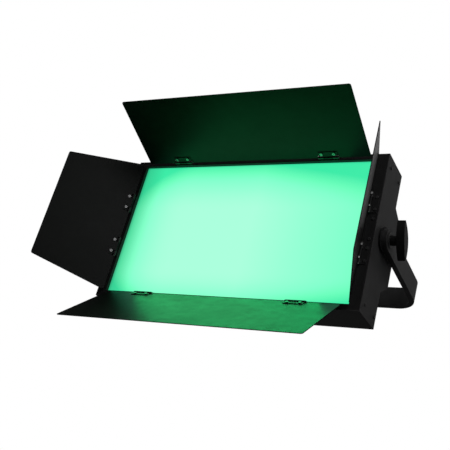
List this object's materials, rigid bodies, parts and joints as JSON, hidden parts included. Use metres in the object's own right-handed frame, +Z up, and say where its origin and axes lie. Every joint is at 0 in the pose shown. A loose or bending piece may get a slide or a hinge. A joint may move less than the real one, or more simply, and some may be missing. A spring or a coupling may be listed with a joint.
{
  "type": "led panel light",
  "caption": "Stage and studio panel light: a shallow black box with a glowing opal diffuser, hinged barn doors on its edges and a U-shaped yoke with lock handles.",
  "frame": {"origin": "centre of the clamp bolt hole in the yoke crossbar, on the rear face of the crossbar", "axes": "+Z up with the light upright, +X to the right seen from the lit side, -Y the way the light shines; +Y out of the bolt hole"},
  "size_m": [0.6949, 0.4284, 0.4455],
  "materials": {
    "yoke_black": "fine matt powder coat",
    "rubber": "matt",
    "zinc_steel": "zinc plated",
    "black_steel": "black oxide",
    "knob_black": "moulded, fine grain",
    "housing_black": "fine textured powder coat",
    "bezel_black": "fine textured powder coat",
    "opal_diffuser": "satin opal, lit from behind",
    "reflector_white": "matt white",
    "led_phosphor": "gloss",
    "bare_aluminium": "mill finish",
    "circuit_board": "solder mask",
    "panel_plastic": "satin overlay",
    "display_glass": "gloss",
    "inlet_blue": "moulded",
    "outlet_grey": "moulded",
    "socket_black": "moulded",
    "gold_contacts": "plated",
    "screw_steel": "plated",
    "door_black": "matt powder coat"
  },
  "bodies": {
    "yoke": {"yoke_bar": "yoke_black", "friction_washers": "rubber", "knob_washers": "black_steel"},
    "head": {"side_plate_left": "housing_black", "side_plate_right": "housing_black", "top_panel": "housing_black", "bottom_panel": "housing_black", "rear_cover": "housing_black", "front_bezel": "bezel_black", "diffuser_panel": "opal_diffuser", "mixing_tray": "reflector_white", "led_board": "reflector_white", "led_emitters": "led_phosphor", "heat_sink": "bare_aluminium", "standoffs": "zinc_steel", "power_supply": "bare_aluminium", "control_board": "circuit_board", "display_module": "circuit_board", "control_panel": "panel_plastic", "display_window": "display_glass", "power_inlet": "inlet_blue", "power_outlet": "outlet_grey", "data_sockets": "socket_black", "socket_contacts": "gold_contacts", "socket_screws": "screw_steel", "fuse_holder": "socket_black", "safety_eyelet": "zinc_steel", "pivot_bosses": "black_steel", "pivot_plates": "zinc_steel", "rear_screws": "screw_steel", "side_screws": "black_steel", "bezel_screws": "screw_steel", "hinge_brackets": "bezel_black", "bracket_screws": "black_steel", "hinge_pins": "black_steel"},
    "lock_left": {"knob_left": "knob_black", "knob_left_stud": "zinc_steel"},
    "lock_right": {"knob_right": "knob_black", "knob_right_stud": "zinc_steel"},
    "door_top": {"leaf_top": "door_black", "leaf_top_hinges": "door_black", "leaf_top_screws": "screw_steel", "leaf_top_nuts": "zinc_steel"},
    "door_bottom": {"leaf_bottom": "door_black", "leaf_bottom_hinges": "door_black", "leaf_bottom_screws": "screw_steel", "leaf_bottom_nuts": "zinc_steel"},
    "door_left": {"leaf_left": "door_black", "leaf_left_hinges": "door_black", "leaf_left_screws": "screw_steel", "leaf_left_nuts": "zinc_steel"},
    "door_right": {"leaf_right": "door_black", "leaf_right_hinges": "door_black", "leaf_right_screws": "screw_steel", "leaf_right_nuts": "zinc_steel"},
    "key_menu": {"button_menu": "panel_plastic"},
    "key_up": {"button_up": "panel_plastic"},
    "key_down": {"button_down": "panel_plastic"},
    "key_enter": {"button_enter": "panel_plastic"}
  },
  "joints": [
    {"name": "head_tilt", "type": "hinge", "parent": "yoke", "child": "head", "pos_m": [0, -0.22, 0], "axis": [1, 0, 0], "range_deg": [-94, 86]},
    {"name": "lock_left_turn", "type": "hinge", "parent": "head", "child": "lock_left", "pos_m": [0, -0.22, 0], "axis": [1, 0, 0], "range_deg": [-360, 0]},
    {"name": "lock_right_turn", "type": "hinge", "parent": "head", "child": "lock_right", "pos_m": [0, -0.22, 0], "axis": [1, 0, 0], "range_deg": [0, 360]},
    {"name": "door_top_swing", "type": "hinge", "parent": "head", "child": "door_top", "pos_m": [0, -0.27815, 0.14349], "axis": [1, 0, 0], "range_deg": [-71, 109]},
    {"name": "door_bottom_swing", "type": "hinge", "parent": "head", "child": "door_bottom", "pos_m": [0, -0.25761, -0.15019], "axis": [-1, 0, 0], "range_deg": [-49.5, 128.5]},
    {"name": "door_left_swing", "type": "hinge", "parent": "head", "child": "door_left", "pos_m": [-0.258, -0.26788, -0.00335], "axis": [0, -0.0698, 0.9976], "range_deg": [-40, 140]},
    {"name": "door_right_swing", "type": "hinge", "parent": "head", "child": "door_right", "pos_m": [0.258, -0.26788, -0.00335], "axis": [0, 0.0698, -0.9976], "range_deg": [-70.5, 109.5]},
    {"name": "key_menu_press", "type": "slide", "parent": "head", "child": "key_menu", "axis": [0, -0.9976, -0.0698], "range_m": [0, 0.0012], "stiffness_N_per_m": 400},
    {"name": "key_up_press", "type": "slide", "parent": "head", "child": "key_up", "axis": [0, -0.9976, -0.0698], "range_m": [0, 0.0012], "stiffness_N_per_m": 400},
    {"name": "key_down_press", "type": "slide", "parent": "head", "child": "key_down", "axis": [0, -0.9976, -0.0698], "range_m": [0, 0.0012], "stiffness_N_per_m": 400},
    {"name": "key_enter_press", "type": "slide", "parent": "head", "child": "key_enter", "axis": [0, -0.9976, -0.0698], "range_m": [0, 0.0012], "stiffness_N_per_m": 400}
  ]
}
